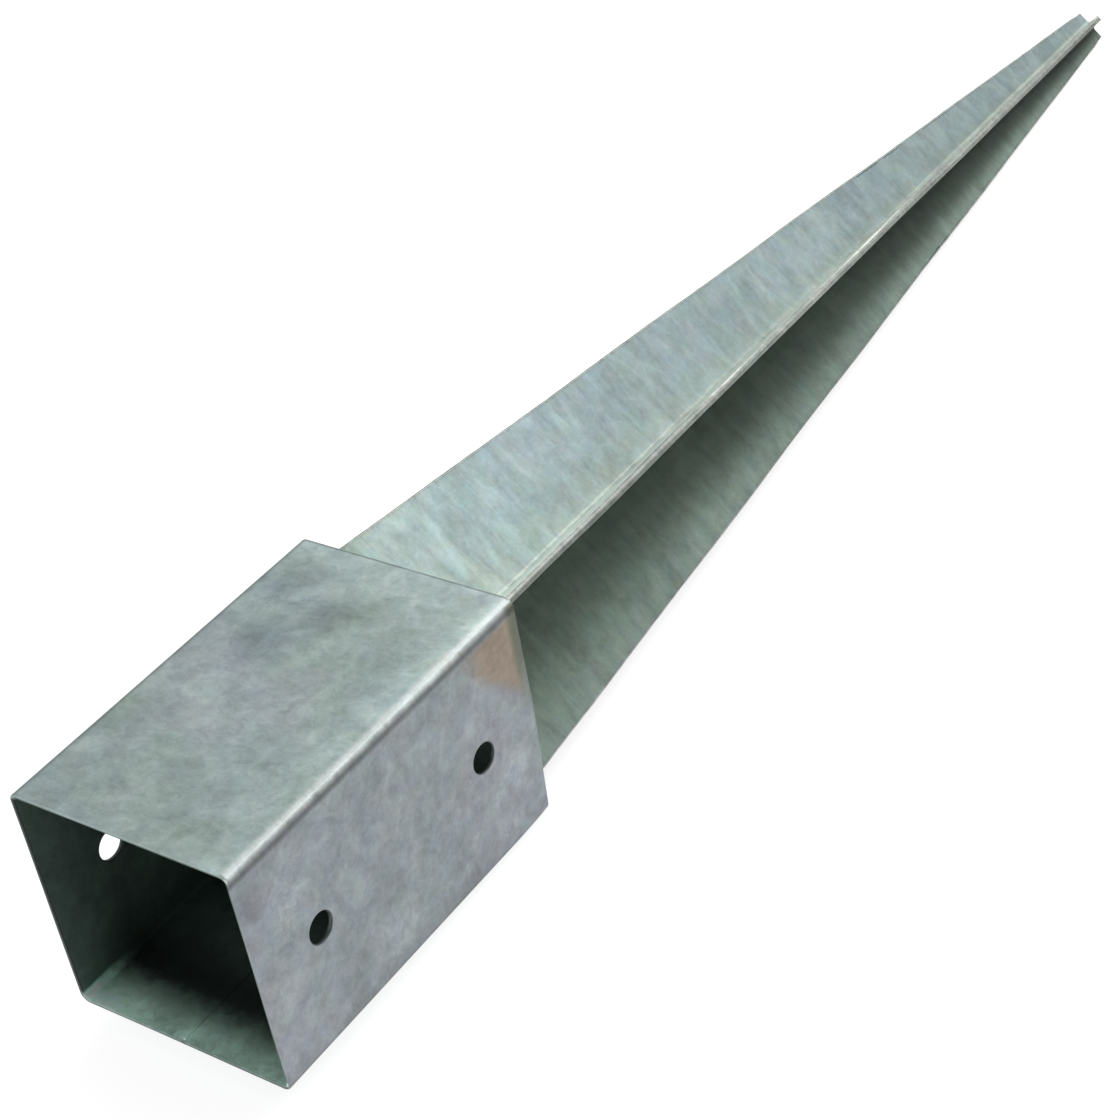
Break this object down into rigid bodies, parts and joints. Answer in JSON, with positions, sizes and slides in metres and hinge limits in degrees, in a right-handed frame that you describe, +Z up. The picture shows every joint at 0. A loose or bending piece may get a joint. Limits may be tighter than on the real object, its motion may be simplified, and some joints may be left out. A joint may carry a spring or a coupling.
{
  "type": "post spike",
  "caption": "Drive-in post support: a square sheet-steel socket with side fixing holes on a long tapered spike of cross-shaped section.",
  "frame": {"origin": "middle of the bounding box's underside: the floor that the spike lies on", "axes": "+X across the socket through the holes, +Y along the length from the mouth to the point, +Z up. The part lies at rest on the socket's lower back edge and the two lower wing tips, so its own axis points 4.18 degrees below +Y"},
  "size_m": [0.1, 0.7522, 0.1114],
  "materials": {
    "galvanised_sheet": "hot-dip galvanised, clouded, half matt",
    "galvanised_weld": "weld bead under zinc, half matt"
  },
  "bodies": {
    "root": {"socket": "galvanised_sheet", "base_plate": "galvanised_sheet", "spike_angle_top": "galvanised_sheet", "spike_angle_right": "galvanised_sheet", "spike_angle_bottom": "galvanised_sheet", "spike_angle_left": "galvanised_sheet", "socket_seam_weld": "galvanised_weld", "base_plate_weld": "galvanised_weld", "spike_root_welds": "galvanised_weld", "wing_edge_welds": "galvanised_weld"}
  },
  "joints": []
}
